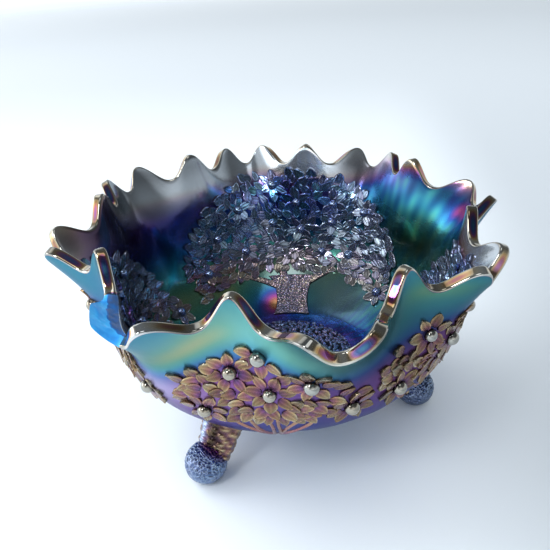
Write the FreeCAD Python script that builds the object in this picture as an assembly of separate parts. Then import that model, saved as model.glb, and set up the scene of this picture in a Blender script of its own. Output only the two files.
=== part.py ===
import FreeCAD, Part
import math
import os

os.makedirs("parts", exist_ok=True)

# A three-footed pressed glass bowl with a ruffled, scalloped rim. Millimetres and degrees.
# The table is z = 0 and the bowl's axis is Z. An angle is measured about that axis from -Y
# towards +X, so 0 faces the front and 90 is the right foot. "s" is the distance along the
# outside wall from the middle of the underside, so it grows from the base up to the rim.

WALL = 6.0  # glass thickness
OUTSIDE = [(0, 27.5), (38, 27.5), (58, 30), (74, 40), (94, 58), (104.5, 80), (110, 108), (123, 139)]
BASE_S = 48.0  # where the shell meets the round base

# The rim is folded inwards at eight places, with a lobe hanging outwards between each two.
FIRST_TIP = -4.7  # angle of one scallop tip, which is also the first fold
RUFFLE_START = 0.5  # the ruffle begins this far up the wall
RUFFLE_POWER = 2.5
FOLD_OUT = [-16.5, -17, -13.5, -13.5, -15.5, -8, -10, -15.5]  # radial shift at each fold
FOLD_UP = [5.5, 5.5, 4, 5, 5.5, 5.5, 7, 9]
LOBE_OUT = [19.5, 9.5, 12, 13.5, 17, 13.5, 12.5, 15]  # radial shift at the lobe after each fold
LOBE_UP = [-4.5, -5.5, -9, -7.5, -6, -1, -3.5, -6]
SCALLOPS = 24
SCALLOP_DEPTH = 13.0
SCALLOP_POINT = 1.2  # above 1 narrows the tips and widens the valleys

# One scallop is broken off: the break slopes down towards the inside of the wall.
CHIP_ANGLE, CHIP_HALF = -35.0, 10.0
CHIP_S_OUTER, CHIP_S_INNER = 187.0, 173.0

FOOT_ANGLES = {"front": -30, "right": 91, "rear": 210}
KNOB_R, KNOB_AT_R, KNOB_Z = 12.6, 83.0, 11.5

TREES = [63, 183, 303]  # trees moulded on the inside wall
CROWN_HALF = 51.0  # half the angle that an inside crown spans
CROWNS_OUT = [3, 59, 121, 182, 242, 303]  # leafy crowns on the outside wall
CROWN_OUT_HALF = 25.0
# Berries as (degrees from the crown's middle, s).
INNER_BERRIES = [(5, 161), (-4, 150), (7, 133), (-5, 128), (-18, 135), (-32, 145), (-15, 110),
                 (-28, 110), (-51, 89), (21, 113), (42, 103), (-18, 149), (33, 128), (22, 146)]
OUTER_BERRIES = [(-19, 124), (-10, 150), (-2, 161), (0, 140), (10, 150), (21, 126)]
RELIEF = 1.2  # how far relief stands off the glass
SUNK = 0.4  # how far relief reaches into the glass

COLUMNS = 8 * SCALLOPS
ROWS = 16

lengths = [0.0]
for (r0, z0), (r1, z1) in zip(OUTSIDE, OUTSIDE[1:]):
    lengths.append(lengths[-1] + math.hypot(r1 - r0, z1 - z0))
RIM_S = lengths[-1]


def section(s):
    """Radius and height of the plain, unruffled outside at s: a smooth curve through OUTSIDE."""
    k = max(0, min(len(lengths) - 2, sum(1 for t in lengths[1:-1] if t <= s)))

    def slope(i, c):
        a, b = max(0, i - 1), min(len(lengths) - 1, i + 1)
        return (OUTSIDE[b][c] - OUTSIDE[a][c]) / (lengths[b] - lengths[a])

    h = lengths[k + 1] - lengths[k]
    t = (s - lengths[k]) / h
    out = []
    for c in (0, 1):
        p, q = OUTSIDE[k][c], OUTSIDE[k + 1][c]
        m, n = slope(k, c) * h, slope(k + 1, c) * h
        out.append(p + t * (m + t * (3 * (q - p) - 2 * m - n + t * (2 * (p - q) + m + n))))
    return out


def ruffle(angle):
    """Shift outwards and upwards of the full rim at an angle, blended between folds and lobes."""
    t = ((angle - FIRST_TIP) / 22.5) % 16
    i, f = int(t), t - int(t)
    blend = (1 - math.cos(math.pi * f)) / 2

    def station(n, fold, lobe):
        return (lobe if n % 2 else fold)[(n % 16) // 2]

    return [
        station(i, fold, lobe) * (1 - blend) + station(i + 1, fold, lobe) * blend
        for fold, lobe in ((FOLD_OUT, LOBE_OUT), (FOLD_UP, LOBE_UP))
    ]


def outside(angle, s):
    r, z = section(s)
    w = max(0.0, (s / RIM_S - RUFFLE_START) / (1 - RUFFLE_START)) ** RUFFLE_POWER
    out, up = ruffle(angle)
    a = math.radians(angle)
    return FreeCAD.Vector((r + w * out) * math.sin(a), -(r + w * out) * math.cos(a), z + w * up)


def outward(angle, s):
    """Unit normal of the outside surface."""
    across = outside(angle + 0.1, s) - outside(angle - 0.1, s)
    along = outside(angle, s + 0.1) - outside(angle, s - 0.1)
    return across.cross(along).normalize()


def on_wall(angle, s, depth):
    """The point that lies depth below the outside surface, so WALL gives the inside surface."""
    return outside(angle, s) - outward(angle, s) * depth


def rim_s(angle, broken_s):
    """Where the wall ends: on the scallops, or at broken_s inside the chip."""
    wave = (1 + math.cos(math.radians(SCALLOPS * (angle - FIRST_TIP)))) / 2
    s = RIM_S - SCALLOP_DEPTH * (1 - wave**SCALLOP_POINT)
    away = abs((angle - CHIP_ANGLE + 180) % 360 - 180) / CHIP_HALF
    return min(s, broken_s + (RIM_S - broken_s) * away**6) if away < 1 else s


def spline(grid, closed):
    """Cubic surface over a grid of poles, periodic along the rows' points if closed."""
    n, m = len(grid), len(grid[0])
    if closed:
        u_knots, u_mults = list(range(n + 1)), [1] * (n + 1)
    else:
        u_knots, u_mults = list(range(n - 2)), [4] + [1] * (n - 4) + [4]
    surface = Part.BSplineSurface()
    surface.buildFromPolesMultsKnots(
        grid, u_mults, [4] + [1] * (m - 4) + [4], u_knots, list(range(m - 2)), closed, False, 3, 3
    )
    return surface.toShape()


def solid(faces):
    shell = Part.Shell(faces)
    shell.sewShape()
    made = Part.Solid(shell)
    if made.Volume < 0:
        made.reverse()
    return made


def export(name, shape):
    shape.exportStep(f"parts/{name}.step")
    print(name, round(shape.Volume), len(shape.Solids), shape.isValid(), flush=True)


# The shell: one skin goes up the outside, over the rounded rim edge and down the inside.
skin = []
for i in range(COLUMNS):
    angle = FIRST_TIP + 360 * i / COLUMNS
    top_out, top_in = rim_s(angle, CHIP_S_OUTER), rim_s(angle, CHIP_S_INNER)
    column = []
    for j in range(ROWS + 1):
        column.append(outside(angle, BASE_S + (top_out - 1.5 - BASE_S) * j / ROWS))
    for depth, drop in ((0.0, 0.2), (1.5, 0.0), (WALL / 2, -0.4), (WALL - 1.5, 0.0), (WALL, 0.2)):
        s = top_out + (top_in - top_out) * depth / WALL - drop
        column.append(on_wall(angle, s, depth))
    for j in reversed(range(ROWS + 1)):
        column.append(on_wall(angle, BASE_S + (top_in - 1.5 - BASE_S) * j / ROWS, WALL))
    skin.append(column)
wall_face = spline(skin, True)
open_edges = [e for e in wall_face.Edges if e.isClosed() and e.Length < 2 * math.pi * (BASE_S + 5)]
export("bowl_wall", solid([wall_face, Part.makeRuledSurface(open_edges[0], open_edges[1])]))


def turned(points):
    """A solid of revolution about Z from a closed outline of (radius, z)."""
    wire = Part.makePolygon([FreeCAD.Vector(r, 0, z) for r, z in points + points[:1]])
    return Part.Face(wire).revolve(FreeCAD.Vector(0, 0, 0), FreeCAD.Vector(0, 0, 1), 360)


# The base closes the shell; the medallion is a low round patch of ground in its middle.
edge_low, edge_high = outside(0, BASE_S), on_wall(0, BASE_S, WALL)
floor_z = round(edge_high.z, 1)
export("bowl_base", turned([(0, 27.5), (38, 27.5), (-edge_low.y, edge_low.z),
                            (-edge_high.y, edge_high.z), (0, floor_z)]))
export("ground_medallion", turned([(0, floor_z - SUNK), (44, floor_z - SUNK), (44, floor_z + 0.6),
                                   (42.5, floor_z + RELIEF), (0, floor_z + RELIEF)]))


def oval(angle, s, tall, wide, lean):
    """An oval wire across a leg: s is (radius, z) of its middle, lean its tilt in degrees."""
    curve = Part.Ellipse(FreeCAD.Vector(0, 0, 0), max(tall, wide) / 2, min(tall, wide) / 2)
    wire = Part.Wire([curve.toShape()])
    if wide > tall:
        wire.rotate(FreeCAD.Vector(0, 0, 0), FreeCAD.Vector(0, 0, 1), 90)
    wire.rotate(FreeCAD.Vector(0, 0, 0), FreeCAD.Vector(0, 1, 0), -lean)
    wire.translate(FreeCAD.Vector(s[0], 0, s[1]))
    wire.rotate(FreeCAD.Vector(0, 0, 0), FreeCAD.Vector(0, 0, 1), angle - 90)
    return wire


# Each foot: a leg that hangs from the wall and a scrolled knob cut flat where it rests.
for name, angle in FOOT_ANGLES.items():
    a = math.radians(angle)
    knob = Part.makeSphere(KNOB_R, FreeCAD.Vector(KNOB_AT_R * math.sin(a), -KNOB_AT_R * math.cos(a), KNOB_Z))
    knob = knob.common(Part.makeBox(300, 300, 60, FreeCAD.Vector(-150, -150, 0)))
    leg = Part.makeLoft([
        oval(angle, (61, 33.5), 26, 26, 20),
        oval(angle, (67, 25.5), 22, 24, 28),
        oval(angle, (72, 18.5), 21, 22, 36),
        oval(angle, (77, 12.5), 19, 20, 45),
    ], True)
    export(f"foot_{name}_knob", knob)
    export(f"foot_{name}_leg", leg.cut(knob))


def patch(angle_at, s_at, across, up, deep, high):
    """A relief pad: angle_at(u, v) and s_at(u, v) map the unit square onto the wall, and the pad
    reaches from depth deep to depth high below the outside surface."""

    def sheet(depth):
        return [
            [on_wall(angle_at(i / across, j / up), s_at(i / across, j / up), depth) for j in range(up + 1)]
            for i in range(across + 1)
        ]
    low, high_grid = sheet(deep), sheet(high)
    sides = [
        [list(pair) for pair in zip(low[0], high_grid[0])],
        [list(pair) for pair in zip(low[-1], high_grid[-1])],
        [[a[0], b[0]] for a, b in zip(low, high_grid)],
        [[a[-1], b[-1]] for a, b in zip(low, high_grid)],
    ]
    faces = [spline(low, False), spline(high_grid, False)]
    for side in sides:
        n = len(side)
        surface = Part.BSplineSurface()
        surface.buildFromPolesMultsKnots(
            side, [4] + [1] * (n - 4) + [4], [2, 2], list(range(n - 2)), [0, 1], False, False, 3, 1
        )
        faces.append(surface.toShape())
    return solid(faces)


def arch(x, flat=0.93):
    """A round arch over -1..1: 1 in the middle, low but not 0 at its ends."""
    return math.sqrt(1 - flat * x * x)


def berries(places, radius, depth):
    return Part.makeCompound([Part.makeSphere(radius, on_wall(a, s, depth)) for a, s in places])


for number, middle in enumerate(TREES, 1):
    def crown_angle(u, v):
        return middle + CROWN_HALF * (2 * u - 1)

    def crown_s(u, v):
        x = 2 * u - 1
        low = 93 - 10 * x * x
        return low + (90 + 82 * arch(x) - low) * v

    def trunk_s(u, v):
        return 53 + 41 * v

    def trunk_angle(u, v):
        wide = 11 + 7 * v**5
        return middle + math.degrees(wide / section(trunk_s(u, v))[0]) * (2 * u - 1)

    low, high = WALL - SUNK, WALL + RELIEF
    export(f"trunk_{number}", patch(trunk_angle, trunk_s, 6, 10, low, high - 0.2))
    export(f"inner_crown_{number}", patch(crown_angle, crown_s, 36, 16, low, high))
    places = [(middle + a, s) for a, s in INNER_BERRIES]
    export(f"inner_berries_{number}", berries(places, 3.4, WALL + 0.6))

for number, middle in enumerate(CROWNS_OUT, 1):
    def crown_angle(u, v):
        return middle + CROWN_OUT_HALF * (2 * u - 1)

    def crown_s(u, v):
        x = 2 * u - 1
        low, top = 139 - 20 * arch(x, 0.7), 139 + 22 * arch(x) - 12 * max(x, 0) ** 2
        return low + (top - low) * v

    def branch_s(u, v):
        return 84 + 33 * v

    def branch_angle(u, v):
        return middle + (2 + 9 * v) * (2 * u - 1)

    export(f"outer_crown_{number}", patch(crown_angle, crown_s, 24, 12, SUNK, -RELIEF))
    export(f"outer_branches_{number}", patch(branch_angle, branch_s, 6, 10, SUNK, 0.2 - RELIEF))
    # The front crown has one berry more, at its top.
    places = [(middle + a, s) for a, s in OUTER_BERRIES if number == 1 or s < 160]
    export(f"outer_berries_{number}", berries(places, 4.0, -0.8))
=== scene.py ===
import itertools
import math

import bpy
import numpy as np
from mathutils import Matrix, Vector


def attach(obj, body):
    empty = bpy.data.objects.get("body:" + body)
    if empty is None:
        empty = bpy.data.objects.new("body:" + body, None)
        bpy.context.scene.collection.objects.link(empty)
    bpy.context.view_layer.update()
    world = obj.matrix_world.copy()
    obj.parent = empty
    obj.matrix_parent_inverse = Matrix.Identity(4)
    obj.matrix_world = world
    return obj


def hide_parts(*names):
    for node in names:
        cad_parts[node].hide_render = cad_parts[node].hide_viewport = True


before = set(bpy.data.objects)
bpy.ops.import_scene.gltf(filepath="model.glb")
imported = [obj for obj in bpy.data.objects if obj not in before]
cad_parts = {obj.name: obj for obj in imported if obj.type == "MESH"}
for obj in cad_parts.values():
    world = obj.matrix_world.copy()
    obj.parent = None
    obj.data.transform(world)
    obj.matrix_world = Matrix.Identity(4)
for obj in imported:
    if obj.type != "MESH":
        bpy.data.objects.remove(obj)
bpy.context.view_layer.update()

# A three-footed pressed glass bowl with a ruffled, scalloped rim and an iridescent coat.
# Sizes here are millimetres until a mesh is made, which turns them into metres. An angle is
# measured about Z from -Y towards +X, in degrees. "s" is the distance along the outside wall
# from the middle of the underside, so it grows from the base up to the rim.
MM = 0.001
rng = np.random.default_rng(11)

# ---------------------------------------------------------------- the wall's surface
WALL = 6.0  # thickness of the glass
# The plain outside from the middle of the underside up: radius, height.
OUTSIDE = np.array([(0, 27.5), (38, 27.5), (58, 30), (74, 40), (94, 58), (104.5, 80),
                    (110, 108), (123, 139)], float)
LENGTHS = np.concatenate([[0], np.cumsum(np.hypot(*np.diff(OUTSIDE, axis=0).T))])
RIM_S = LENGTHS[-1]
BEFORE = np.maximum(np.arange(len(OUTSIDE)) - 1, 0)
AFTER = np.minimum(np.arange(len(OUTSIDE)) + 1, len(OUTSIDE) - 1)
SLOPES = (OUTSIDE[AFTER] - OUTSIDE[BEFORE]) / (LENGTHS[AFTER] - LENGTHS[BEFORE])[:, None]

FIRST_TIP = -4.7  # angle of one scallop tip, which is also the first inward fold
RUFFLE_START, RUFFLE_POWER = 0.5, 2.5
# For each fold, and the lobe after it: how far the rim goes out and up.
FOLD_OUT = [-16.5, -17, -13.5, -13.5, -15.5, -8, -10, -15.5]
FOLD_UP = [5.5, 5.5, 4, 5, 5.5, 5.5, 7, 9]
LOBE_OUT = [19.5, 9.5, 12, 13.5, 17, 13.5, 12.5, 15]
LOBE_UP = [-4.5, -5.5, -9, -7.5, -6, -1, -3.5, -6]
RUFFLES = np.array([FOLD_OUT, LOBE_OUT, FOLD_UP, LOBE_UP], float)
FOLDS = len(FOLD_OUT)
SCALLOPS, SCALLOP_DEPTH, SCALLOP_POINT = 24, 13.0, 1.2
FLANK = 180 / SCALLOPS  # degrees from a scallop's tip to the valley beside it
CHIP_ANGLE, CHIP_HALF = -35.0, 10.0
CHIP_S_OUTER, CHIP_S_INNER = 187.0, 173.0  # how low the break reaches, outside and inside
UNBROKEN = 1e3  # an s beyond any rim

FOOT_ANGLES = {"front": -30, "right": 91, "rear": 210}
KNOB_R, KNOB_AT_R, KNOB_Z = 12.6, 83.0, 11.5
GROUND_R = 44.0
TREES = [63, 183, 303]  # angles of the trees inside
CROWN_HALF = 51.0  # degrees from a tree's middle to its side
CROWNS_OUT = [3, 59, 121, 182, 242, 303]  # angles of the crowns outside
CROWN_OUT_HALF = 25.0
# Berries of a tree and of an outside crown: degrees from its middle, and s.
INNER_BERRIES = [(5, 161), (-4, 150), (7, 133), (-5, 128), (-18, 135), (-32, 145), (-15, 110),
                 (-28, 110), (-51, 89), (21, 113), (42, 103), (-18, 149), (33, 128), (22, 146)]
OUTER_BERRIES = [(-19, 124), (-10, 150), (-2, 161), (0, 140), (10, 150), (21, 126)]


def section(s):
    """Radius and height of the plain, unruffled outside at s."""
    s = np.asarray(s, float)
    k = np.clip(np.searchsorted(LENGTHS, s, side="right") - 1, 0, len(LENGTHS) - 2)
    h = (LENGTHS[k + 1] - LENGTHS[k])[..., None]
    t = (s - LENGTHS[k])[..., None] / h
    p, q, m, n = OUTSIDE[k], OUTSIDE[k + 1], SLOPES[k] * h, SLOPES[k + 1] * h
    return p + t * (m + t * (3 * (q - p) - 2 * m - n + t * (2 * (p - q) + m + n)))


def outside(a, s):
    """Points of the ruffled outside surface at angle a and distance s."""
    t = (np.asarray(a, float) - FIRST_TIP) / (360 / FOLDS) % FOLDS
    i = t.astype(int)
    fold, lobe = RUFFLES[[0, 2]][:, i], RUFFLES[[1, 3]][:, i]
    following = RUFFLES[[0, 2]][:, (i + 1) % FOLDS]
    blend = (1 - np.cos(2 * np.pi * (t - i))) / 2
    out, up = np.where(t - i < 0.5, fold, following) * (1 - blend) + lobe * blend
    r, z = np.moveaxis(section(s), -1, 0)
    w = np.clip((s / RIM_S - RUFFLE_START) / (1 - RUFFLE_START), 0, None) ** RUFFLE_POWER
    radius, turn = r + w * out, np.radians(a)
    return np.stack([radius * np.sin(turn), -radius * np.cos(turn), z + w * up], -1)


def outward(a, s):
    """Unit normals of the outside surface."""
    across = outside(a + 0.1, s) - outside(a - 0.1, s)
    along = outside(a, s + 0.1) - outside(a, s - 0.1)
    n = np.cross(across, along)
    return n / np.linalg.norm(n, axis=-1, keepdims=True)


def on_wall(a, s, depth):
    """Points that lie depth below the outside surface, so WALL gives the inside surface."""
    a, s = np.broadcast_arrays(np.asarray(a, float), np.asarray(s, float))
    return outside(a, s) - outward(a, s) * np.asarray(depth, float)[..., None]


def turned_by(a, middle):
    """Angle from middle to a, within -180..180."""
    return (a - middle + 180) % 360 - 180


def scallop(a):
    """Where the unbroken wall ends at angle a."""
    wave = (1 + np.cos(np.radians(SCALLOPS * (a - FIRST_TIP)))) / 2
    return RIM_S - SCALLOP_DEPTH * (1 - wave ** SCALLOP_POINT)


def broken(a, s_broken):
    """Where the broken scallop ends at angle a, if its lowest point is s_broken."""
    away = np.clip(np.abs(turned_by(a, CHIP_ANGLE)) / CHIP_HALF, 0, 1)
    return np.where(away < 1, s_broken + (RIM_S - s_broken) * away ** 6, UNBROKEN)


# ---------------------------------------------------------------- small helpers
def bell(x, middle, width):
    """1 at the middle, falling smoothly to nothing about two widths away."""
    return np.exp(-(((x - middle) / width) ** 2))


def patch(a, s, angle, wide, middle, tall):
    """1 at one place on the wall, fading out over wide degrees and tall millimetres."""
    return bell(turned_by(a, angle), 0, wide) * bell(s, middle, tall)


def fraction(x):
    return x - np.floor(x)


def cells(point, size, seed):
    """Distances, in cells, from each point to its nearest and second nearest scattered seeds.
    One seed lies somewhere in each cell; the large numbers only shuffle where."""
    point = np.asarray(point) / size
    home = np.floor(point)
    near = np.full(point.shape[:-1], 9.0)
    second = near.copy()
    for step in itertools.product((-1, 0, 1), repeat=point.shape[-1]):
        cell = home + step
        mixed = cell @ np.array([127.1, 311.7, 74.7])[:len(step)] + seed
        shuffled = np.sin(mixed[..., None] + 17.3 * np.arange(len(step))) * 43758.5
        scattered = cell + fraction(shuffled)
        d = np.linalg.norm(scattered - point, axis=-1)
        second = np.minimum(second, np.maximum(near, d))
        near = np.minimum(near, d)
    return near, second


def mesh_piece(name, verts, faces, film, replaces, materials, *, sharp, kinds=None,
               silver=0.0, worn=1.0, matte=0.0):
    """One piece of the bowl from points in millimetres. film says how thick the iridescent
    coat is at each point, silver how far its colour pales, worn how bright it is painted, as
    painted light (painted shade in the creases and hollows, painted highlights and glints), matte
    how much rougher it is, kinds picks each face's material, and edges steeper than sharp
    degrees stay crisp."""
    mesh = bpy.data.meshes.new(name)
    mesh.from_pydata((verts * MM).tolist(), [], faces)
    for material in materials:
        mesh.materials.append(material)
    for label, values in (("film", film), ("silver", silver), ("worn", worn), ("matte", matte)):
        layer = mesh.attributes.new(label, "FLOAT", "POINT")
        spread = np.broadcast_to(np.asarray(values, np.float32).ravel(), len(verts))
        layer.data.foreach_set("value", np.ascontiguousarray(spread))
    if kinds is not None:
        mesh.polygons.foreach_set("material_index", np.asarray(kinds, np.int32))
    mesh.shade_smooth()
    mesh.set_sharp_from_angle(angle=math.radians(sharp))
    mesh.update()
    piece = bpy.data.objects.new(name, mesh)
    bpy.context.scene.collection.objects.link(piece)
    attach(piece, "root")
    if replaces:
        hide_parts(*replaces)
    return piece


def grid_faces(rows, columns, closed=False, start=0):
    """Quads of a grid of rows x columns points; closed joins the last column to the first."""
    wide = columns if closed else columns - 1
    i, j = np.meshgrid(np.arange(rows - 1), np.arange(wide), indexing="ij")
    k = (j + 1) % columns
    quads = np.stack([i * columns + j, i * columns + k, (i + 1) * columns + k,
                      (i + 1) * columns + j], -1)
    return (quads.reshape(-1, 4) + start).tolist()


# ---------------------------------------------------------------- materials
# The coat's colours from its thinnest to its thickest, as interference gives them.
# "film" is a place on this scale.
THIN_TO_THICK = [
    (0.00, (0.52, 0.54, 0.54)), (0.07, (0.60, 0.55, 0.42)), (0.15, (0.52, 0.34, 0.13)),
    (0.22, (0.38, 0.13, 0.10)), (0.29, (0.26, 0.05, 0.24)), (0.36, (0.10, 0.05, 0.26)),
    (0.44, (0.02, 0.07, 0.32)), (0.52, (0.02, 0.17, 0.36)), (0.60, (0.04, 0.27, 0.31)),
    (0.68, (0.09, 0.32, 0.23)), (0.76, (0.24, 0.36, 0.17)), (0.84, (0.46, 0.37, 0.15)),
    (0.92, (0.42, 0.15, 0.20)), (1.00, (0.17, 0.07, 0.28)),
]
PALE_SILVER = (0.42, 0.48, 0.54, 1)


def coat(name, rough, rough_spread, drift, drift_scale, dim=1.0, bump=0.0, bump_scale=300.0,
         metal=0.95, clear=0.15, edge_tint=(1, 1, 1)):
    """Glass under the iridescent coat. The film attribute plus a slow drift picks the colour,
    dim scales it, and bump is the strength of a fine grain."""
    material = bpy.data.materials.new(name)
    material.use_nodes = True
    nodes, links = material.node_tree.nodes, material.node_tree.links
    shader = nodes["Principled BSDF"]
    place = nodes.new("ShaderNodeTexCoord")
    film = nodes.new("ShaderNodeAttribute")
    film.attribute_name = "film"

    def noise(scale, detail):
        node = nodes.new("ShaderNodeTexNoise")
        node.inputs["Scale"].default_value = scale
        node.inputs["Detail"].default_value = detail
        links.new(place.outputs["Object"], node.inputs["Vector"])
        return node

    slow = noise(drift_scale, 3)
    shift = nodes.new("ShaderNodeMath")
    shift.operation = "MULTIPLY_ADD"
    shift.inputs[1].default_value = drift
    shift.inputs[2].default_value = -drift / 2
    links.new(slow.outputs["Fac"], shift.inputs[0])
    total = nodes.new("ShaderNodeMath")
    links.new(film.outputs["Fac"], total.inputs[0])
    links.new(shift.outputs[0], total.inputs[1])
    ramp = nodes.new("ShaderNodeValToRGB")
    stops = ramp.color_ramp.elements
    while len(stops) < len(THIN_TO_THICK):
        stops.new(0.5)
    for stop, (at, colour) in zip(stops, THIN_TO_THICK):
        stop.position = at
        stop.color = [c * dim for c in colour] + [1]
    links.new(total.outputs[0], ramp.inputs[0])
    silver = nodes.new("ShaderNodeAttribute")
    silver.attribute_name = "silver"
    pale = nodes.new("ShaderNodeMix")
    pale.data_type = "RGBA"
    pale.inputs["B"].default_value = PALE_SILVER
    links.new(silver.outputs["Fac"], pale.inputs["Factor"])
    links.new(ramp.outputs["Color"], pale.inputs["A"])
    # This attribute is painted light: it darkens the colour in painted shade and brightens it in
    # painted highlights.
    worn = nodes.new("ShaderNodeAttribute")
    worn.attribute_name = "worn"
    darken = nodes.new("ShaderNodeVectorMath")
    darken.operation = "SCALE"
    links.new(pale.outputs["Result"], darken.inputs[0])
    links.new(worn.outputs["Fac"], darken.inputs["Scale"])
    links.new(darken.outputs["Vector"], shader.inputs["Base Color"])
    fine = noise(drift_scale * 9, 4)
    spread = nodes.new("ShaderNodeMapRange")
    spread.inputs["To Min"].default_value = rough
    spread.inputs["To Max"].default_value = rough + rough_spread
    links.new(fine.outputs["Fac"], spread.inputs["Value"])
    matte = nodes.new("ShaderNodeAttribute")
    matte.attribute_name = "matte"
    rougher = nodes.new("ShaderNodeMath")
    links.new(spread.outputs["Result"], rougher.inputs[0])
    links.new(matte.outputs["Fac"], rougher.inputs[1])
    links.new(rougher.outputs[0], shader.inputs["Roughness"])
    shader.inputs["Specular Tint"].default_value = [*edge_tint, 1]
    shader.inputs["Metallic"].default_value = metal
    shader.inputs["Coat Weight"].default_value = clear
    shader.inputs["Coat Roughness"].default_value = 0.04
    if bump:
        grain = noise(bump_scale, 5)
        lumps = nodes.new("ShaderNodeBump")
        lumps.inputs["Strength"].default_value = bump
        lumps.inputs["Distance"].default_value = 0.0004
        links.new(grain.outputs["Fac"], lumps.inputs["Height"])
        links.new(lumps.outputs["Normal"], shader.inputs["Normal"])
    return material


def raw_glass():
    """The fresh break: uncoated cobalt glass, pale and dull by turns; the pale sky blue is painted
    light from the floor shining through it.
    """
    material = bpy.data.materials.new("raw_cobalt_glass")
    material.use_nodes = True
    nodes, links = material.node_tree.nodes, material.node_tree.links
    shader = nodes["Principled BSDF"]
    place = nodes.new("ShaderNodeTexCoord")
    film = nodes.new("ShaderNodeAttribute")
    film.attribute_name = "film"
    stain = nodes.new("ShaderNodeTexNoise")
    stain.inputs["Scale"].default_value = 150
    links.new(place.outputs["Object"], stain.inputs["Vector"])
    total = nodes.new("ShaderNodeMath")
    total.operation = "MULTIPLY_ADD"
    total.inputs[1].default_value = 0.5
    links.new(stain.outputs["Fac"], total.inputs[0])
    links.new(film.outputs["Fac"], total.inputs[2])
    ramp = nodes.new("ShaderNodeValToRGB")
    stops = ramp.color_ramp.elements
    stops[0].position, stops[0].color = 0.25, (0.07, 0.50, 1.0, 1)
    stops[1].position, stops[1].color = 1.0, (0.03, 0.13, 0.42, 1)
    for at, colour in ((0.42, (0.04, 0.34, 0.86, 1)), (0.60, (0.02, 0.14, 0.48, 1)),
                       (0.80, (0.02, 0.14, 0.46, 1)), (0.91, (0.05, 0.11, 0.26, 1))):
        stops.new(at).color = colour
    links.new(total.outputs[0], ramp.inputs[0])
    links.new(ramp.outputs["Color"], shader.inputs["Base Color"])
    shader.inputs["Roughness"].default_value = 0.25
    shader.inputs["Specular IOR Level"].default_value = 0.35
    ripple = nodes.new("ShaderNodeBump")
    ripple.inputs["Strength"].default_value = 0.8
    ripple.inputs["Distance"].default_value = 0.0012
    links.new(stain.outputs["Fac"], ripple.inputs["Height"])
    links.new(ripple.outputs["Normal"], shader.inputs["Normal"])
    return material


# Each coat's name, roughness and how much that varies, and its colour's drift and how finely.
satin = coat("satin_coat_outside", 0.26, 0.12, 0.12, 22, dim=0.9, bump=0.02, bump_scale=500,
             metal=0.82, clear=0.05, edge_tint=(0.45, 0.5, 0.6))
gloss = coat("gloss_coat_inside", 0.07, 0.12, 0.16, 26, dim=0.7, bump=0.08, bump_scale=420,
             metal=0.86, clear=0.1, edge_tint=(0.6, 0.65, 0.7))
mirror = coat("fire_polished_rim", 0.02, 0.05, 0.20, 60, dim=0.9)
leaf_in = coat("silvery_leaf_coat", 0.08, 0.16, 0.30, 60, bump=0.15, bump_scale=900)
leaf_out = coat("bronze_leaf_coat", 0.16, 0.20, 0.14, 90, dim=0.75, bump=0.2, bump_scale=1100,
                metal=0.88)
berry = coat("mirror_berry_coat", 0.02, 0.05, 0.10, 80, dim=1.2, clear=0.5)
bark = coat("stippled_bark_coat", 0.08, 0.25, 0.40, 120, dim=0.9, bump=0.4, bump_scale=1600)
foot_coat = coat("steel_blue_foot_coat", 0.10, 0.16, 0.12, 70, dim=1.1, bump=0.2, bump_scale=900)
raw = raw_glass()


# ---------------------------------------------------------------- how thick the coat is, and its painted light
# Patches where the outside coat is thicker: angle, s, width, height and how much thicker.
THICK_PATCHES = [(-19, 170, 12, 10, 0.18), (-11, 173, 7, 6, 0.08), (47, 180, 8, 6, 0.10),
                 (8, 170, 8, 9, 0.05), (75, 172, 10, 9, 0.12), (150, 170, 25, 12, 0.16),
                 (250, 168, 22, 12, 0.14)]


def film_outside(a, s):
    """Blue below, purple round the crowns and teal up to the rim, all lower at the front."""
    s = s + 13 * bell(turned_by(a, -30), 0, 13) + 7 * bell(turned_by(a, 28), 0, 16)
    film = np.interp(s, [0, 60, 100, 118, 132, 148, 154, 158, 163, 170, 182, 191],
                     [0.50, 0.48, 0.42, 0.35, 0.32, 0.33, 0.38, 0.47, 0.54, 0.58, 0.61, 0.58])
    for angle, middle, wide, tall, more in THICK_PATCHES:
        film += more * patch(a, s, angle, wide, middle, tall)
    return film + 0.015 * np.sin(np.radians(3 * a + 40)) + 0.015 * np.sin(s / 9 + np.radians(2 * a))


def worn_outside(a, s):
    """Painted light on the outside's front: a painted highlight under its middle tip and at its
    lower left, and painted shade to the right.
    """
    bright = patch(a, s, 5, 9, 171, 12)
    left = patch(a, s, -30, 14, 134, 14)
    right = patch(a, s, 38, 20, 158, 22)
    return 1 + 0.8 * bright + 0.8 * left - 0.5 * right


def silver_outside(a, s):
    """The outside pales at the front left, low down and below the rim."""
    return 0.06 + 0.35 * patch(a, s, -30, 14, 134, 14) + 0.15 * patch(a, s, -18, 20, 174, 13)


def vivid(a):
    """1 on the side of the bowl where the inside shows its brightest colours."""
    return bell(turned_by(a, 121), 0, 32)


def streaks(a, s):
    """Slanting streaks, from -1 to 1, in the bright part of the inside."""
    return np.sin(np.radians(61 * a) + s / 5) * np.sin(np.radians(23 * a) - s / 11) * vivid(a)


def trunk_glow(a, s):
    """1 in a patch beside the rear tree's trunk where the coat thins, which also carries a painted
    highlight.
    """
    return patch(a, s, 193, 10, 66, 12)


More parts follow.
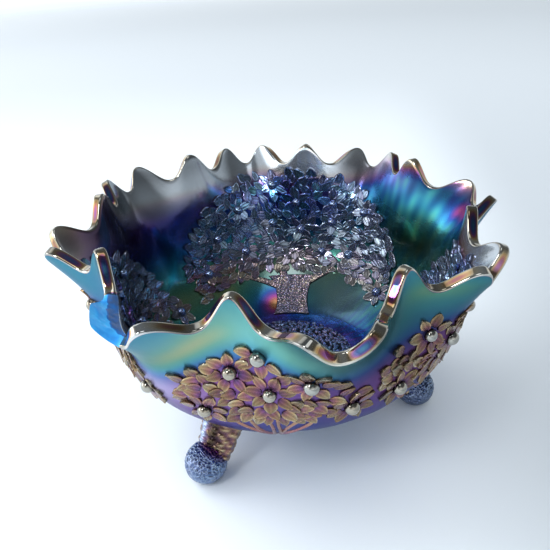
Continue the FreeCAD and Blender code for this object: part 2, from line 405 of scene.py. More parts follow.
def film_inside(a, s):
    """Dark blues and greens, with a brighter teal to purple side."""
    bright = np.interp(s, [0, 45, 60, 75, 95, 120, 140, 152, 162, 171, 177, 181, 184, 187, 190],
                       [0.40, 0.42, 0.50, 0.58, 0.64, 0.66, 0.66, 0.63, 0.58, 0.56, 0.54, 0.43,
                        0.30, 0.16, 0.05])
    dark = np.interp(s + 3 * np.sin(np.radians(5 * a)), [0, 45, 60, 75, 95, 115, 140, 155, 164, 172],
                     [0.38, 0.40, 0.50, 0.60, 0.72, 0.62, 0.44, 0.38, 0.36, 0.12])
    film = dark + (bright - dark) * vivid(a) + 0.05 * streaks(a, s)
    film -= 0.24 * patch(a, s, 109, 7, 170, 8)
    film += 0.10 * patch(a, s, 220, 9, 84, 9)
    film += (0.33 - film) * patch(a, s, 272, 12, 176, 12)
    return film * (1 - 0.72 * trunk_glow(a, s))


def silver_inside(a, s):
    """The inside pales towards its rim, less on the vivid side and in the left fold."""
    lower_start = 24 * vivid(a) - 8 * bell(turned_by(a, 238), 0, 12)
    t = (s - 157 - lower_start + 4 * np.sin(np.radians(7 * a + 30))) / 15
    near_rim = np.clip(t, 0, 1) ** 1.2 * (1 - 0.5 * vivid(a))
    near_rim *= 1 - 0.8 * bell(turned_by(a, 272), 0, 12)
    near_rim += 0.14 * patch(a, s, 136, 9, 176, 9)
    near_rim += 0.55 * patch(a, s, 183, 16, 91, 9)
    return near_rim + 0.35 * patch(a, s, 150, 18, 75, 20)


def worn_inside(a, s):
    """Painted light on the inside: painted shade on the left and in its fold, a streaked painted
    highlight on the bright side with painted shade below it, painted highlights at the rear rim,
    some painted shade near the rim, and a painted highlight beside the rear trunk.
    """
    left = patch(a, s, 262, 45, 150, 40)
    fold = patch(a, s, 267, 15, 177, 14)
    blaze = 2.1 * patch(a, s, 126, 12, 161, 10) + 4.2 * patch(a, s, 136, 9, 176, 10)
    blaze *= 0.95 + 0.45 * streaks(a, s)
    blaze -= 0.7 * patch(a, s, 119, 6, 176, 8)
    under = patch(a, s, 126, 22, 138, 17)
    rear = patch(a, s, 171, 7, 183, 9) + 0.3 * patch(a, s, 238, 8, 168, 9)
    shade = patch(a, s, 225, 12, 184, 9) + patch(a, s, 159, 7, 177, 8)
    return np.clip(1 - 0.55 * left - 0.52 * fold + blaze - 0.9 * under + 2.2 * rear - 0.45 * shade
                   + 0.5 * trunk_glow(a, s), 0.08, None)


def matte_inside(a, s):
    """The brightest patch is also the most satin one."""
    return 0.03 + 0.26 * patch(a, s, 130, 18, 166, 15)


def film_rim(a, across):
    """Ovals of thicker coat on the flanks between a scallop's tip and its valleys."""
    flanks = (a - FIRST_TIP) / FLANK
    flank = fraction(flanks)
    size = 0.7 + 0.35 * np.sin(np.floor(flanks) * 2.4 + 1)
    oval = np.sin(np.pi * flank) ** 2 * np.clip(1 - ((across - 0.5) / 0.42) ** 2, 0, 1)
    return 0.03 + 0.50 * size * oval


# ---------------------------------------------------------------- the shell
COLUMNS, UP = 576, 76  # points round the bowl, and rows of quads up each side
angles = FIRST_TIP + 360 * np.arange(COLUMNS) / COLUMNS
end = scallop(angles)
top_out = np.minimum(end, broken(angles, CHIP_S_OUTER))
top_in = np.minimum(end, broken(angles, CHIP_S_INNER))
chip = np.clip((end - top_in) / 6, 0, 1)  # 1 where the rim is broken away
in_break = chip > 0.3
# The rim's own section, as (depth below the outside, drop below the top): round, flat, round.
CORNER, FLAT_STEPS = 1.3, 6
swing = np.radians([15, 35, 55, 75])
corner = [(CORNER * (1 - math.cos(q)), CORNER * (1 - math.sin(q))) for q in swing]
flat = [(CORNER + (WALL - 2 * CORNER) * k / FLAT_STEPS, 0.0) for k in range(FLAT_STEPS + 1)]
edge = corner + flat + [(WALL - depth, drop) for depth, drop in reversed(corner)]


def hand_made(a, s):
    """Slow unevenness of hand-worked glass, in millimetres."""
    return 0.22 * np.sin(s / 7 + np.radians(4 * a)) * np.sin(np.radians(11 * a) + s / 15) * (s > 60)


shell = {label: [] for label in ("place", "film", "silver", "worn", "matte")}


def add_ring(**values):
    """Add one ring of points round the bowl, with the coat on it."""
    for label, value in values.items():
        shell[label].append(value)


FIRST_S = 0.5  # the rings start and end this far from the axis
for k in range(UP + 1):
    s = FIRST_S + (top_out - CORNER - FIRST_S) * k / UP
    add_ring(place=on_wall(angles, s, hand_made(angles, s)), film=film_outside(angles, s),
             silver=silver_outside(angles, s), worn=worn_outside(angles, s), matte=np.zeros(COLUMNS))
for depth, drop in edge:
    part = depth / WALL
    fall = part + 0.18 * np.sin(np.pi * part) * np.sin(np.radians(angles * 9))
    s = top_out + (top_in - top_out) * fall - drop * (1 - chip)
    # The break is rippled in arcs round one corner, as shell-shaped flakes leave it.
    shell_ripple = 0.35 * np.sin(3.2 * np.hypot(2 * turned_by(angles, CHIP_ANGLE - 9), WALL * part))
    s += chip * np.sin(np.pi * part) * (np.sin(np.radians(angles * 31)) + 1.2 * part + shell_ripple)
    # The outer facet of the break is painted pale, as painted light through the glass; the inner one
    # keeps the dark cobalt.
    inner_facet = part > 0.3 + 0.6 * np.clip((turned_by(angles, CHIP_ANGLE) + 8) / 16, 0, 1)
    # Bands of painted highlight and painted shade run along the rim's polished edge.
    wave = np.sin(np.radians(angles * 24 + 60)) * np.sin(np.radians(angles * 5))
    add_ring(place=on_wall(angles, s, np.full(COLUMNS, depth)),
             film=np.where(in_break, 0.1 + 0.55 * inner_facet, film_rim(angles, part)),
             silver=0.12 + 0.12 * np.sin(np.radians(angles * 7)) * np.sin(np.radians(angles * 24)),
             worn=0.9 + 0.45 * wave, matte=np.zeros(COLUMNS))
for k in range(UP + 1):
    s = top_in - CORNER * (1 - chip) + (FIRST_S - top_in + CORNER) * k / UP
    add_ring(place=on_wall(angles, s, WALL + hand_made(angles, s)), film=film_inside(angles, s),
             silver=silver_inside(angles, s), worn=worn_inside(angles, s),
             matte=matte_inside(angles, s))
count = len(shell["place"])
shell = {label: np.concatenate(rings) for label, rings in shell.items()}
faces = grid_faces(count, COLUMNS, closed=True)
# Bands of quads: 0 the outside, 1 the rim, 2 the inside. The rim's broken quads are 3.
band = np.searchsorted([UP, UP + len(edge) + 1], np.arange(count - 1), side="right")
kinds = np.repeat(band, COLUMNS)
kinds[(kinds == 1) & np.tile(in_break, count - 1)] = 3
faces += [list(range(COLUMNS))[::-1], list(range((count - 1) * COLUMNS, count * COLUMNS))]
kinds = np.append(kinds, [0, 2])
mesh_piece("bowl_shell", shell["place"], faces, shell["film"],
           ["bowl_wall", "bowl_base"], [satin, mirror, gloss, raw], kinds=kinds, sharp=60,
           silver=shell["silver"], worn=shell["worn"], matte=shell["matte"])


# ---------------------------------------------------------------- leaves
LEAF_U = np.array([-1.0, -1.0, -0.85, -0.6, -0.3, 0.0, 0.3, 0.6, 0.85, 1.0, 1.0])
LEAF_V = np.array([0.0, 0.05, 0.14, 0.27, 0.41, 0.56, 0.7, 0.83, 0.94, 1.0])
# Across a leaf, from its midrib to its edge: height (1 is the leaf's rise) and brightness, which
# is painted light: painted highlights on the raised midrib and rim, painted shade in the hollow.
ACROSS = [0, 0.3, 0.6, 0.85, 1]
RAISED = [1.15, 1.0, 1.0, 1.2, 0.8]
LIT = [1.1, 0.7, 0.8, 1.3, 1.0]
SUNK = 0.5  # how far the edges of raised work reach into the glass


def leaves(name, a, s, turn, length, width, inside, lift, film, silver, bright, replaces,
           material, rise, edge, roll, fade):
    """Pointed oval leaves laid on the wall. a and s place each middle, turn is the direction of
    its tip in degrees from straight up, lift raises its tip off the glass, rise is how thick
    the leaf is, bright how bright each leaf is painted (its tone, and in the trees painted glints
    and painted shade), edge the painted shade on its steep sides, roll how far leaves lean
    sideways, and fade thickens the coat towards each leaf's foot."""
    n = len(a)
    u, v = np.meshgrid(LEAF_U, LEAF_V, indexing="xy")
    half = 1.15 * v ** 0.48 * (1 - v) ** 0.76
    x = (u * half)[None] * width[:, None, None]
    y = (v - 0.5)[None] * length[:, None, None] + 0 * x
    tall = lift[:, None, None] * v + rise * np.interp(np.abs(u), ACROSS, RAISED)
    tall = tall + rng.uniform(-roll, roll, n)[:, None, None] * u
    tall[..., [0, -1]] = -SUNK
    c, d = np.cos(np.radians(turn))[:, None, None], np.sin(np.radians(turn))[:, None, None]
    across, along = x * c + y * d, y * c - x * d
    at_s = s[:, None, None] + along
    radius = np.maximum(section(at_s)[..., 0] - (WALL if inside else 0), 20)
    at_a = a[:, None, None] + np.degrees(across / radius) * (-1 if inside else 1)
    depth = WALL + tall if inside else -tall
    verts = on_wall(at_a, at_s, depth).reshape(-1, 3)
    per = len(LEAF_U) * len(LEAF_V)
    one = np.array(grid_faces(len(LEAF_V), len(LEAF_U)))
    if inside:
        one = one[:, ::-1]
    faces = (one[None] + (np.arange(n) * per)[:, None, None]).reshape(-1, 4).tolist()
    across_leaf = 0.05 - 0.06 * u ** 2 + fade * (1 - v) ** 1.5
    shade = np.repeat(film, per) + np.tile(across_leaf.ravel(), n)
    # Painted shade towards each leaf's foot and on its steep sides.
    lit = np.interp(np.abs(u), ACROSS, LIT) * np.clip(0.4 + 3 * v, 0, 1)
    lit[:, [0, -1]] = edge
    lit = bright[:, None, None] * lit
    return mesh_piece(name, verts, faces, shade, replaces, [material], sharp=40,
                      silver=np.repeat(silver, per), worn=lit.ravel())


def scatter(half, low, high, step, jitter):
    """Staggered places (degrees, s) inside a crown, half degrees to each side of its middle,
    whose lower and upper edges are low(x) and high(x) for x from -1 to 1."""
    places = []
    for row, s in enumerate(np.arange(60, 180, step * 0.80)):
        wide = math.degrees(step / section(s)[0])
        for a in np.arange(-half - wide, half + wide, wide):
            da, ds = rng.uniform(-jitter, jitter, 2)
            b, t = a + wide * (0.5 * (row % 2) + da), s + step * ds
            if abs(b) < half and low(b / half) < t < high(b / half):
                places.append((b, t))
    return np.array(places)


def away_from(places, centres, reach):
    """Which places keep clear of every centre by reach millimetres."""
    keep = np.ones(len(places), bool)
    for a, s in centres:
        r = section(s)[0]
        keep &= np.hypot(np.radians(places[:, 0] - a) * r, places[:, 1] - s) > reach
    return keep


def ring_of_leaves(centres, radius, count):
    """Places and directions of the leaves that spread around each centre."""
    places, turns = [], []
    for a, s in centres:
        start = rng.uniform(0, 360 / count)
        for k in range(count):
            t = start + 360 * k / count + rng.uniform(-7, 7)
            reach = radius * rng.uniform(0.92, 1.12)
            places.append((a + math.degrees(reach * math.sin(math.radians(t)) / section(s)[0]),
                           s + reach * math.cos(math.radians(t))))
            turns.append(t)
    return np.array(places), np.array(turns)


def arch(x, flat=0.93):
    """A round arch over x from -1 to 1; a smaller flat leaves its ends higher."""
    return np.sqrt(np.clip(1 - flat * x * x, 0, None))


def sphere_grid(rings, sides):
    """Unit sphere as a grid of latitude rings, from the bottom pole to the top one."""
    lat = np.linspace(-np.pi / 2, np.pi / 2, rings)[:, None]
    lon = np.linspace(0, 2 * np.pi, sides, endpoint=False)[None]
    return np.stack([np.cos(lat) * np.cos(lon), np.cos(lat) * np.sin(lon),
                     np.sin(lat) + 0 * lon], -1)


def berries(name, places, *, radius, inside, film, silver, bright, replaces):
    """Round berries half sunk in the wall, with a painted shadow line where each meets the glass."""
    rings, sides = 21, 32
    ball = sphere_grid(rings, sides).reshape(-1, 3)
    verts, faces, shades, crease_shade = [], [], [], []
    for n, (a, s) in enumerate(places):
        normal = outward(np.array(float(a)), np.array(float(s))) * (-1 if inside else 1)
        size = radius * rng.uniform(0.9, 1.06)
        verts.append(on_wall(a, s, WALL if inside else 0) + ball * size + normal * 0.7)
        faces += grid_faces(rings, sides, closed=True, start=n * rings * sides)
        shades.append(np.full(rings * sides, film + rng.uniform(-0.02, 0.03)))
        # Painted shade darkens each berry where it meets the wall.
        crease_shade.append(bright * np.clip((ball @ normal) * 3.2, 0.08, 1))
    return mesh_piece(name, np.concatenate(verts), faces, np.concatenate(shades),
                      replaces, [berry], sharp=80, silver=silver, worn=np.concatenate(crease_shade))


INNER_R, OUTER_R = 95, 104  # the wall's radius where most leaves are, inside and outside


def tree_crown(number, middle):
    """Leaves and berries of one tree on the inside. Its middle is the deepest blue, with painted
    glints.
    """
    spots = scatter(CROWN_HALF + 2, lambda x: 92 - 9 * x * x, lambda x: 90 + 82 * arch(x),
                    step=6.3, jitter=0.24)
    spots = spots[away_from(spots, INNER_BERRIES, 9.0)]
    across = np.radians(spots[:, 0]) * INNER_R
    turn = np.degrees(np.arctan2(-across, spots[:, 1] - 112)) + rng.uniform(-55, 55, len(spots))
    ring, ring_turn = ring_of_leaves(INNER_BERRIES, 6.6, 6)
    spots, turn = np.concatenate([spots, ring]), np.concatenate([turn, -ring_turn])
    n = len(spots)
    heart = bell(spots[:, 0], 0, 23) * bell(spots[:, 1], 153, 20)
    warm = np.clip((122 - spots[:, 1]) / 30, 0, 1)
    side = bell(spots[:, 0], 55, 40) * (spots[:, 1] < 130)
    angle = middle + spots[:, 0]
    left = bell(turned_by(angle, 305), 0, 40)
    film = 0.44 - 0.28 * warm * (1 - heart) + rng.uniform(-0.06, 0.06, n) * (1 + warm)
    pale = 0.72 - 0.3 * side - 0.6 * heart + rng.uniform(-0.12, 0.12, n) - 0.3 * left
    # Painted light: painted glints on leaves near 152 degrees and in the heart, and painted shade on
    # the crown to the left; the random part is the leaves' own tone.
    glint = bell(turned_by(angle, 152), 0, 14)
    bright = 0.9 + 0.9 * heart + 0.45 * glint + rng.uniform(-0.2, 0.2, n) - 0.55 * left
    leaves(f"inner_crown_leaves_{number}", angle, spots[:, 1], turn, rng.uniform(7.6, 9.2, n),
           rng.uniform(5.6, 6.8, n), True, rng.uniform(0.2, 1.6, n) + 0.5 * heart, film,
           np.clip(pale, 0, 1), bright, [f"inner_crown_{number}"], leaf_in, rise=0.6, edge=0.12,
           roll=0.45, fade=0.0)
    berries(f"inner_crown_berries_{number}", [(middle + a, s) for a, s in INNER_BERRIES],
            radius=3.4, inside=True, film=0.45, silver=0.5, bright=1.4,
            replaces=[f"inner_berries_{number}"])


def outside_crown(number, middle):
    """Leaves and berries of one crown on the outside: a flower round each berry, and between
    the flowers leaves that spread upwards."""
    # The front crown has one berry more, at its top.
    beads = [(a, s) for a, s in OUTER_BERRIES if number == 1 or s < 160]
    top = 24 if number == 1 else 20

    def crown_top(x):
        return 137 + top * arch(x) - 14 * np.maximum(x, 0) ** 2

    petals = 7
    ring, ring_turn = ring_of_leaves(beads, 8.3, petals)
    own = np.repeat(np.arange(len(beads)), petals)
    keep = ring[:, 1] < 3 + crown_top(ring[:, 0] / CROWN_OUT_HALF)
    for k, (a, s) in enumerate(beads):
        gap = np.hypot(np.radians(ring[:, 0] - a) * OUTER_R, ring[:, 1] - s)
        keep &= (own == k) | (gap > 7.5)
    ring, ring_turn = ring[keep], ring_turn[keep]
    spots = scatter(CROWN_OUT_HALF + 1, lambda x: 140 - 21 * arch(x, 0.7), crown_top,
                    step=6.4, jitter=0.24)
    spots = spots[away_from(spots, beads, 8.5)]
    spots = spots[away_from(spots, ring, 4.6)]
    across = np.radians(spots[:, 0]) * OUTER_R
    spread = np.degrees(np.arctan2(across, (spots[:, 1] - 134) * 1.2))
    turn = spread + rng.uniform(-35, 35, len(spots))
    spots, turn = np.concatenate([ring, spots]), np.concatenate([ring_turn, turn])
    n = len(spots)
    leaves(f"outer_crown_leaves_{number}", middle + spots[:, 0], spots[:, 1], turn,
           rng.uniform(7.6, 9.2, n), rng.uniform(5.6, 6.8, n), False, rng.uniform(0.2, 1.3, n),
           0.095 + rng.uniform(-0.02, 0.05, n), np.full(n, 0.08), rng.uniform(0.5, 1.05, n),
           [f"outer_crown_{number}"], leaf_out, rise=0.55, edge=0.2, roll=0.5, fade=0.15)
    berries(f"outer_crown_berries_{number}", [(middle + a, s) for a, s in beads], radius=3.8,
            inside=False, film=0.07, silver=0.4, bright=0.6, replaces=[f"outer_berries_{number}"])


for number, middle in enumerate(TREES, 1):
    tree_crown(number, middle)
for number, middle in enumerate(CROWNS_OUT, 1):
    outside_crown(number, middle)


# ---------------------------------------------------------------- trunks and branches
def relief_strip(name, angle_at, s_at, height, *, inside, size, film, silver, replaces, material,
                 lit=lambda tall: 1 + 0 * tall):
    """A raised strip on the wall over the unit square, with its edges sunk into the glass. size
    is its number of points across and along, film gives the coat from the angle and s, and lit
    its painted light from the height: painted shade low down and painted highlights on top."""
    nu, nv = size
    u, v = np.meshgrid(np.linspace(0, 1, nu), np.linspace(0, 1, nv), indexing="xy")
    rim = np.minimum(np.minimum(u, 1 - u) * nu / 2.5, np.minimum(v, 1 - v) * nv / 2.5)
    tall = height(u, v) * np.clip(rim, 0, 1) ** 0.6 - SUNK * (rim <= 0)
    a, s = angle_at(u, v), s_at(u, v)
    verts = on_wall(a, s, WALL + tall if inside else -tall).reshape(-1, 3)
    faces = np.array(grid_faces(nv, nu))
    if inside:
        faces = faces[:, ::-1]
    return mesh_piece(name, verts, faces.tolist(), film(a, s), replaces, [material],
                      sharp=70, silver=silver, worn=lit(tall))


def trunk(number, middle):
    """A stippled trunk that flares at its top and foot."""
    def trunk_s(u, v):
        return 53 + 36 * v

    def trunk_angle(u, v):
        wide = 11 + 6 * (0.4 - v) ** 2 + 5 * v ** 5
        return middle - 1 + np.degrees(wide / (section(trunk_s(u, v))[..., 0] - WALL)) * (2 * u - 1)

    def bark_height(u, v):
        near, _ = cells(np.stack([u * 22, v * 30], -1), 1.15, number)
        return 0.7 + 0.9 * np.clip(1 - near, 0, 1) + 0.12 * np.sin(u * 30 + 2 * np.sin(v * 9))

    # The bark's lit is painted light: painted shade in the pits of the stipple and painted highlights
    # on its tops.
    relief_strip(f"tree_trunk_{number}", trunk_angle, trunk_s, bark_height, inside=True,
                 size=(80, 130), film=lambda a, s: 0.27 + 0.2 * np.sin(a * 7) * np.sin(s * 0.9),
                 silver=0.5, replaces=[f"trunk_{number}"], material=bark,
                 lit=lambda tall: np.clip(1.4 * tall - 0.75, 0.12, 1.4))


# Three limbs leave the top of a trunk and run in under the leaves. For each: its start, its
# bend and its finish as (degrees from the tree's middle, s), and its half width.
LIMBS = {"a": ((1, 78), (5, 88), (4, 98), 4.2), "b": ((-5, 79), (-12, 85), (-23, 97), 3.8),
         "c": ((6, 79), (14, 85), (27, 93), 3.4)}
LIMB_DEGREE = 1.3  # millimetres in one degree where the limbs are


def limb(number, middle, side):
    """A bent, tapering limb of LIMBS, round on top and stippled like the trunk."""
    start, bend, finish, thick = LIMBS[side]

    def along(u, v):
        """Degrees and s on the limb: v runs along it and u across it."""
        line = [(1 - v) ** 2 * start[i] + 2 * v * (1 - v) * bend[i] + v * v * finish[i]
                for i in (0, 1)]
        way = [(1 - v) * (bend[i] - start[i]) + v * (finish[i] - bend[i]) for i in (0, 1)]
        size = np.hypot(LIMB_DEGREE * way[0], way[1])
        aside = (2 * u - 1) * thick * (1 - 0.5 * v) / size
        return line[0] + aside * way[1] / LIMB_DEGREE, line[1] - aside * way[0] * LIMB_DEGREE

    def limb_height(u, v):
        near, _ = cells(np.stack([u * 6, v * 16], -1), 1.2, number + 3)
        return 0.8 * np.sqrt(np.clip(1 - (2 * u - 1) ** 2, 0, 1)) + 0.6 * np.clip(1 - near, 0, 1)

    # Painted shade low on the limb and painted highlights on its rounded top and stipple.
    relief_strip(f"tree_limb_{number}{side}", lambda u, v: middle + along(u, v)[0],
                 lambda u, v: along(u, v)[1], limb_height, inside=True, size=(20, 60),
                 film=lambda a, s: 0.2 + 0 * s, silver=0.5, replaces=[], material=bark,
                 lit=lambda tall: np.clip(1.4 * tall - 0.6, 0.12, 1.4))


def outer_branches(number, middle):
    """Six thin branches that fan out upwards into an outside crown."""
    branches, foot_s, length = 6, 82, 40

    def half_width(v):
        return 2.5 + 10 * v

    def branch_s(u, v):
        return foot_s + length * v

    def branch_angle(u, v):
        return middle + half_width(v) * (2 * u - 1)

    def branch_height(u, v):
        nearest = np.full(np.shape(u), 9.0)
        for k in range(branches):
            from_middle = k - (branches - 1) / 2
            line = 0.5 + from_middle * (0.05 + 0.16 * v ** 1.3) + 0.05 * np.sin(5 * v + 2 * k)
            nearest = np.minimum(nearest, np.abs(u - line) * half_width(v) * 3.6)
        return 1.3 * np.sqrt(np.clip(1 - (nearest / 1.1) ** 2, 0, 1)) - 0.3

    relief_strip(f"outer_branch_relief_{number}", branch_angle, branch_s, branch_height,
                 inside=False, size=(150, 50), film=lambda a, s: 0.30 - 0.12 * (s - foot_s) / length,
                 silver=0.1, replaces=[f"outer_branches_{number}"], material=leaf_out)


for number, middle in enumerate(TREES, 1):
    trunk(number, middle)
    for side in LIMBS:
        limb(number, middle, side)
for number, middle in enumerate(CROWNS_OUT, 1):
    outer_branches(number, middle)


# ---------------------------------------------------------------- ground medallion
def ground():
    """Rounded lumps crowded over the round patch in the middle of the floor, with painted glints on
    their tops and painted shade between them.
    """
    turns, steps = 360, 110
    around = np.linspace(0, 2 * np.pi, turns, endpoint=False)[None]
    out = (GROUND_R * np.linspace(0, 1, steps) ** 0.8)[:, None]
    x, y = out * np.sin(around), -out * np.cos(around)
    near, _ = cells(np.stack([x, y], -1), 2.6, 5)
    lump = np.clip(1 - (near / 0.62) ** 2, 0, 1) ** 0.5
    floor_z = float(on_wall(0, 30, WALL)[2])
    z = floor_z + 0.3 + 1.3 * lump - 1.4 * (out > GROUND_R - 0.4)
    film = 0.42 + 0.06 * np.sin(x) * np.cos(y * 1.1)
    mesh_piece("ground_relief", np.stack([x, y, z], -1).reshape(-1, 3),
               grid_faces(steps, turns, closed=True), film, ["ground_medallion"],
               [leaf_in], sharp=80, silver=0.35, worn=(0.1 + 1.5 * lump ** 2).ravel())


ground()


# ---------------------------------------------------------------- feet
# Ovals along each leg: radius, height, size up the leg's plane, width across, lean in degrees.
LEG = np.array([(59, 35, 27, 27, 18), (61, 33.5, 26, 26, 20), (67, 25.5, 22, 24, 28),
                (72, 18.5, 21, 22, 36), (77, 12.5, 19, 20, 45)], float)


def place_foot(angle, r, across, z):
    """Points of a foot at angle, from its own radius, sideways place and height."""
    t = math.radians(angle)
    return np.stack([r * math.sin(t) + across * math.cos(t),
                     -r * math.cos(t) + across * math.sin(t), z], -1)


def knob(name, angle):
    """A crackled ball with painted shade where the leg meets it, painted highlights on its veins and
    painted shade in its pits, and flat where it stands.
    """
    rings, sides = 130, 220
    ball = sphere_grid(rings, sides)
    near, second = cells(KNOB_R * ball + 0.8 * np.sin(7 * ball[..., [1, 2, 0]]), 2.4, 3)
    veins = np.clip(1 - (second - near) / 0.3, 0, 1)
    pits = np.clip(1 - near * 1.2, 0, 1)
    toward_leg = np.clip(ball @ np.array([-0.55, 0.3, 0.78]) * 3 - 1.6, 0, 1)
    surface = ball * (KNOB_R - 0.75 + 0.7 * veins - 0.2 * pits)[..., None]
    verts = place_foot(angle, KNOB_AT_R + surface[..., 0], surface[..., 1], KNOB_Z + surface[..., 2])
    verts[..., 2] = np.maximum(verts[..., 2], 0)  # worn flat where it rests
    # The right foot is painted darker all over, as painted shade.
    painted_shade_scale = 0.72 if name == "right" else 1.0
    mesh_piece(f"foot_{name}_scroll", verts.reshape(-1, 3), grid_faces(rings, sides, closed=True),
               (0.46 - 0.17 * toward_leg).ravel(), [f"foot_{name}_knob"], [foot_coat],
               sharp=80, silver=((0.3 + 0.3 * veins) * (1 - toward_leg)).ravel(),
               worn=(painted_shade_scale * (0.8 + 0.35 * veins - 0.35 * pits) * (1 - 0.7 * toward_leg)).ravel())


def leg(name, angle):
    """A beaded leg swept through the ovals of LEG, with a ridge down each side."""
    rings, sides = 70, 120
    t = np.linspace(0, 1, rings)[:, None]
    ovals = [np.interp(t[:, 0] ** 0.9 * (len(LEG) - 1), np.arange(len(LEG)), column)[:, None]
             for column in LEG.T]
    q = np.linspace(0, 2 * np.pi, sides, endpoint=False)[None]
    near, _ = cells(np.stack(np.broadcast_arrays(np.degrees(q) * 0.11, t * 30), -1), 2.6, 8)
    bead = np.clip(1 - near * 1.3, 0, 1)
    swell = bead - 0.5 + 1.2 * bell(np.abs(np.degrees(q) - 180), 100, 12)
    u = np.cos(q) * (ovals[2] / 2 + swell)
    w = np.sin(q) * (ovals[3] / 2 + swell)
    lean = np.radians(ovals[4])
    verts = place_foot(angle, ovals[0] + u * np.cos(lean), w, ovals[1] + u * np.sin(lean))
    side = np.degrees(q) + 0 * t
    # Painted light on the leg: a pale painted highlight strip down one side, painted shade beside it,
    # and the beads painted brighter as highlights.
    strip = bell(turned_by(side, 332), 0, 15)
    dark = bell(turned_by(side, 12), 0, 24)
    mesh_piece(f"foot_{name}_stem", verts.reshape(-1, 3), grid_faces(rings, sides, closed=True),
               (0.27 - 0.15 * bead + 0.30 * strip).ravel(), [f"foot_{name}_leg"],
               [leaf_out], sharp=80, silver=(0.15 + 0.45 * strip).ravel(),
               worn=((0.3 + 0.9 * bead) * (1 - 0.85 * dark) + 0.9 * strip).ravel())


for name, angle in FOOT_ANGLES.items():
    knob(name, angle)
    leg(name, angle)


# ---------------------------------------------------------------- floor, lights, room, camera
def smooth_step(nodes, start, finish, amount=1.0):
    """A node that rises smoothly from 0 at start to amount at finish."""
    node = nodes.new("ShaderNodeMapRange")
    node.interpolation_type = "SMOOTHSTEP"
    node.inputs["From Min"].default_value = start
    node.inputs["From Max"].default_value = finish
    node.inputs["To Max"].default_value = amount
    return node


def white_paper():
    """Paper with painted shade that greys it gently to the right of the bowl, and everywhere far
    behind it.
    """
    material = bpy.data.materials.new("white_paper")
    material.use_nodes = True
    nodes, links = material.node_tree.nodes, material.node_tree.links
    shader = nodes["Principled BSDF"]
    shader.inputs["Roughness"].default_value = 0.8
    where = nodes.new("ShaderNodeTexCoord")
    axes = nodes.new("ShaderNodeSeparateXYZ")
    links.new(where.outputs["Object"], axes.inputs[0])
    shade = nodes.new("ShaderNodeMix")
    shade.inputs["B"].default_value = 0.7
    # Metres to the right, where the painted shade comes on, and metres behind, where it settles.
    for axis, start, finish, socket in (("X", 0.08, 0.24, "A"), ("Y", 0.0, 1.1, "Factor")):
        slope = smooth_step(nodes, start, finish)
        links.new(axes.outputs[axis], slope.inputs["Value"])
        links.new(slope.outputs["Result"], shade.inputs[socket])
    grain = nodes.new("ShaderNodeTexNoise")
    grain.inputs["Scale"].default_value = 3
    mottled = nodes.new("ShaderNodeMath")
    mottled.operation = "MULTIPLY_ADD"
    mottled.inputs[1].default_value = 0.08
    links.new(grain.outputs["Fac"], mottled.inputs[0])
    links.new(shade.outputs[0], mottled.inputs[2])
    tint = nodes.new("ShaderNodeMix")
    tint.data_type = "RGBA"
    tint.inputs["A"].default_value = (0.87, 0.94, 1.0, 1)
    tint.inputs["B"].default_value = (0.50, 0.55, 0.60, 1)
    links.new(mottled.outputs[0], tint.inputs["Factor"])
    links.new(tint.outputs["Result"], shader.inputs["Base Color"])
    # Far from the lights the paper glows faintly, so that it stays pale out to the horizon.
    reach = nodes.new("ShaderNodeVectorMath")
    reach.operation = "LENGTH"
    links.new(where.outputs["Object"], reach.inputs[0])
    far = smooth_step(nodes, 2.0, 5.0, 0.75)
    links.new(reach.outputs["Value"], far.inputs["Value"])
    shader.inputs["Emission Color"].default_value = (0.90, 0.96, 1.0, 1)
    links.new(far.outputs["Result"], shader.inputs["Emission Strength"])
    return material


HALF_FLOOR = 20  # metres
floor_mesh = bpy.data.meshes.new("studio_floor")
floor_mesh.from_pydata([(-HALF_FLOOR, -HALF_FLOOR, 0), (HALF_FLOOR, -HALF_FLOOR, 0),
                        (HALF_FLOOR, HALF_FLOOR, 0), (-HALF_FLOOR, HALF_FLOOR, 0)], [], [(0, 1, 2, 3)])
floor_mesh.materials.append(white_paper())
floor = bpy.data.objects.new("studio_floor", floor_mesh)
bpy.context.scene.collection.objects.link(floor)


def soft_box(name, place, aim, size, power, colour, mirrored):
    """A rectangular lamp (metres and watts); mirrored lets the glass reflect its face."""
    light = bpy.data.lights.new(name, "AREA")
    light.shape = "RECTANGLE"
    light.size, light.size_y = size
    light.energy, light.color = power, colour
    lamp = bpy.data.objects.new(name, light)
    lamp.location = place
    lamp.visible_glossy = mirrored
    lamp.rotation_mode = "QUATERNION"
    lamp.rotation_quaternion = (Vector(aim) - Vector(place)).to_track_quat("-Z", "Y")
    bpy.context.scene.collection.objects.link(lamp)


soft_box("window", (-2.2, 0.8, 2.2), (0, 0, 0.05), (2.4, 2.4), 62, (1.0, 0.99, 0.98), False)
soft_box("overhead", (-0.4, -0.6, 3.2), (-0.4, -0.6, 0), (7.0, 7.0), 140, (0.92, 0.97, 1.0), False)
soft_box("glint", (-0.5, -0.75, 0.95), (0, 0, 0.1), (0.22, 0.3), 3, (1.0, 1.0, 1.0), True)

# The room the glass reflects: grey levels from the horizon (0) to straight overhead (1).
DOME = [(0.22, 0.80), (0.36, 0.26), (0.46, 0.09)]
# Brighter patches of the room: where each lies, its outer and inner cosine, and its strength.
PATCHES = [((-0.80, -0.50, 0.35), 0.82, 0.93, 0.8), ((-0.75, 0.55, 0.45), 0.80, 0.92, 0.6),
           ((-0.97, -0.05, 0.25), 0.93, 0.98, 2.2), ((0.05, -0.30, 0.95), 0.97, 0.985, 1.6),
           ((-0.50, 0.35, 0.80), 0.97, 0.985, 0.5), ((0.30, -0.90, 0.30), 0.90, 0.97, 0.5)]


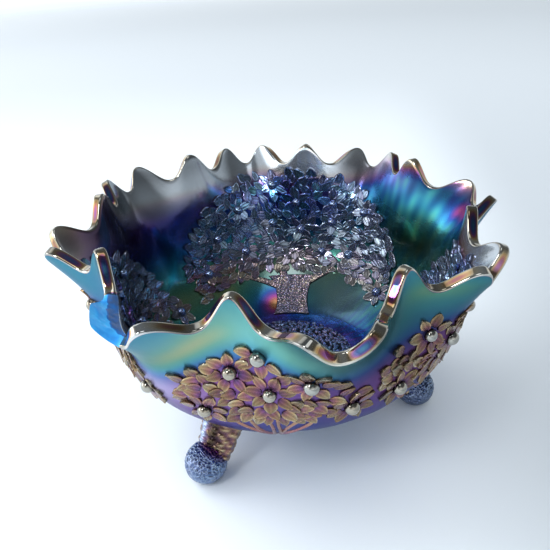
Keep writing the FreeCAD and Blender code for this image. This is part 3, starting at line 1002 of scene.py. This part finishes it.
def room():
    """A room that is bright near the horizon and dim overhead, with windows to the left."""
    world = bpy.data.worlds.new("studio")
    bpy.context.scene.world = world
    world.use_nodes = True
    nodes, links = world.node_tree.nodes, world.node_tree.links
    look = nodes.new("ShaderNodeTexCoord")
    split = nodes.new("ShaderNodeSeparateXYZ")
    links.new(look.outputs["Generated"], split.inputs[0])
    dome = nodes.new("ShaderNodeValToRGB")
    stops = dome.color_ramp.elements
    stops[0].position, stops[0].color = 0.0, (0.92, 0.97, 1.0, 1)
    stops[1].position, stops[1].color = 1.0, (0.12, 0.13, 0.14, 1)
    for at, grey in DOME:
        stops.new(at).color = (grey * 0.97, grey, grey * 1.02, 1)
    links.new(split.outputs["Z"], dome.inputs[0])
    glow = dome.outputs["Color"]
    for toward, outer_cos, inner_cos, strength in PATCHES:
        facing = nodes.new("ShaderNodeVectorMath")
        facing.operation = "DOT_PRODUCT"
        facing.inputs[1].default_value = Vector(toward).normalized()
        links.new(look.outputs["Generated"], facing.inputs[0])
        spot = smooth_step(nodes, outer_cos, inner_cos, strength)
        links.new(facing.outputs["Value"], spot.inputs["Value"])
        add = nodes.new("ShaderNodeVectorMath")
        add.operation = "ADD"
        links.new(glow, add.inputs[0])
        links.new(spot.outputs["Result"], add.inputs[1])
        glow = add.outputs["Vector"]
    links.new(glow, nodes["Background"].inputs["Color"])
    nodes["Background"].inputs["Strength"].default_value = 1.0


room()

# The camera looks at a point near the bowl's axis; distances are in metres.
AZIMUTH, ELEVATION, ROLL = math.radians(8.6), math.radians(28.9), math.radians(-4.04)
DISTANCE, TARGET_RIGHT, TARGET_Z = 0.373, -0.0042, 0.0961
LENS, SENSOR = 40.2, 36  # millimetres
back = Vector((math.sin(AZIMUTH) * math.cos(ELEVATION), -math.cos(AZIMUTH) * math.cos(ELEVATION),
               math.sin(ELEVATION)))
right = Vector((math.cos(AZIMUTH), math.sin(AZIMUTH), 0))
up = back.cross(right)
rolled_right = right * math.cos(ROLL) + up * math.sin(ROLL)
rolled_up = up * math.cos(ROLL) - right * math.sin(ROLL)
facing = Matrix((rolled_right, rolled_up, back)).transposed()
stand = right * TARGET_RIGHT + Vector((0, 0, TARGET_Z)) + back * DISTANCE
camera = bpy.data.objects.new("camera", bpy.data.cameras.new("camera"))
camera.data.sensor_width = SENSOR
camera.data.lens = LENS
camera.data.clip_start = 0.01
camera.matrix_world = Matrix.Translation(stand) @ facing.to_4x4()
bpy.context.scene.collection.objects.link(camera)
bpy.context.scene.camera = camera
bpy.context.scene.view_settings.view_transform = "Standard"
